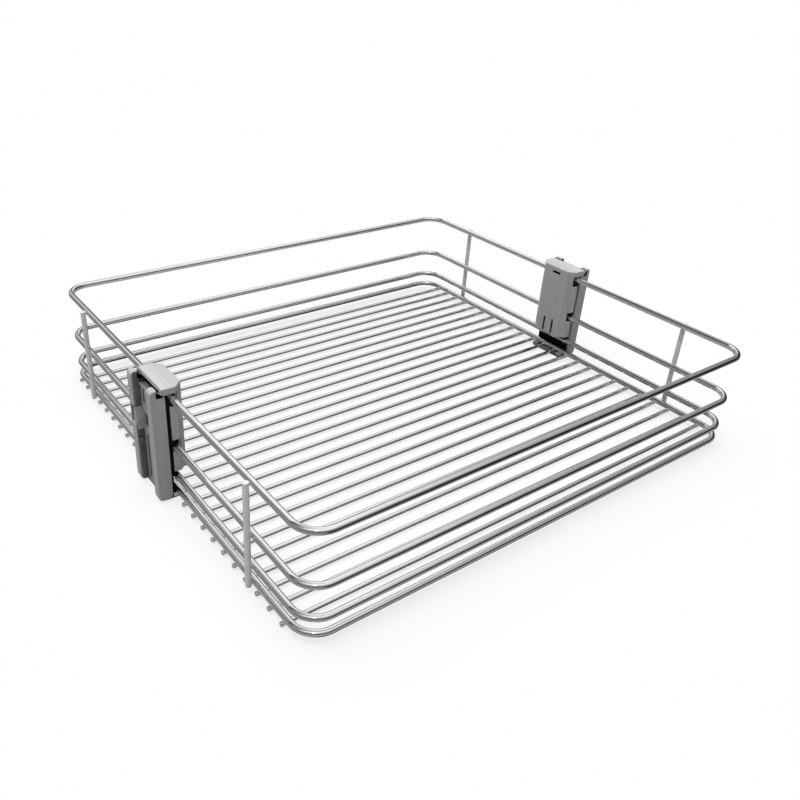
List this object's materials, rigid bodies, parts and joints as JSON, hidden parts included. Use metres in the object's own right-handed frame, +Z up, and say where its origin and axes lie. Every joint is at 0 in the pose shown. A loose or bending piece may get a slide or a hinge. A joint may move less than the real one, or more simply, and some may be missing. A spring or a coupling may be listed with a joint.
{
  "type": "pull out cabinet basket",
  "caption": "Rectangular chromed wire basket for a pull-out cabinet frame, with a grey plastic clip-on bracket on two opposite sides, each with a sprung catch.",
  "frame": {"origin": "centre of the basket's footprint, on the plane that the brackets' feet stand on", "axes": "+Y along the pull-out direction and the floor wires, +X across the cabinet, +Z up"},
  "size_m": [0.471, 0.537, 0.1111],
  "materials": {
    "chrome_wire": "polished",
    "grey_plastic": "satin moulded",
    "black_plastic": "matt moulded",
    "catch_plastic": "satin moulded",
    "pin_steel": "drawn"
  },
  "bodies": {
    "basket": {"rim_ring": "chrome_wire", "middle_ring": "chrome_wire", "lower_ring": "chrome_wire", "base_ring": "chrome_wire", "front_left_upright": "chrome_wire", "front_right_upright": "chrome_wire", "rear_left_upright": "chrome_wire", "rear_right_upright": "chrome_wire", "floor_wire_01": "chrome_wire", "floor_wire_02": "chrome_wire", "floor_wire_03": "chrome_wire", "floor_wire_04": "chrome_wire", "floor_wire_05": "chrome_wire", "floor_wire_06": "chrome_wire", "floor_wire_07": "chrome_wire", "floor_wire_08": "chrome_wire", "floor_wire_09": "chrome_wire", "floor_wire_10": "chrome_wire", "floor_wire_11": "chrome_wire", "floor_wire_12": "chrome_wire", "floor_wire_13": "chrome_wire", "floor_wire_14": "chrome_wire", "floor_wire_15": "chrome_wire", "floor_wire_16": "chrome_wire", "floor_wire_17": "chrome_wire", "floor_wire_18": "chrome_wire", "floor_wire_19": "chrome_wire", "floor_wire_20": "chrome_wire", "floor_wire_21": "chrome_wire", "floor_wire_22": "chrome_wire", "floor_wire_23": "chrome_wire", "floor_wire_24": "chrome_wire", "front_bracket_channel": "grey_plastic", "front_bracket_core": "black_plastic", "front_bracket_cover": "grey_plastic", "rear_bracket_channel": "grey_plastic", "rear_bracket_core": "black_plastic", "rear_bracket_cover": "grey_plastic", "front_catch_pin": "pin_steel", "rear_catch_pin": "pin_steel"},
    "front_catch": {"front_catch": "catch_plastic"},
    "rear_catch": {"rear_catch": "catch_plastic"}
  },
  "joints": [
    {"name": "front_catch_pivot", "type": "hinge", "parent": "basket", "child": "front_catch", "pos_m": [-0.0158, -0.2626, 0.04815], "axis": [0, -1, 0], "range_deg": [0, 8], "stiffness_Nm_per_rad": 0.3},
    {"name": "rear_catch_pivot", "type": "hinge", "parent": "basket", "child": "rear_catch", "pos_m": [0.0158, 0.2626, 0.04815], "axis": [0, 1, 0], "range_deg": [0, 8], "stiffness_Nm_per_rad": 0.3}
  ]
}
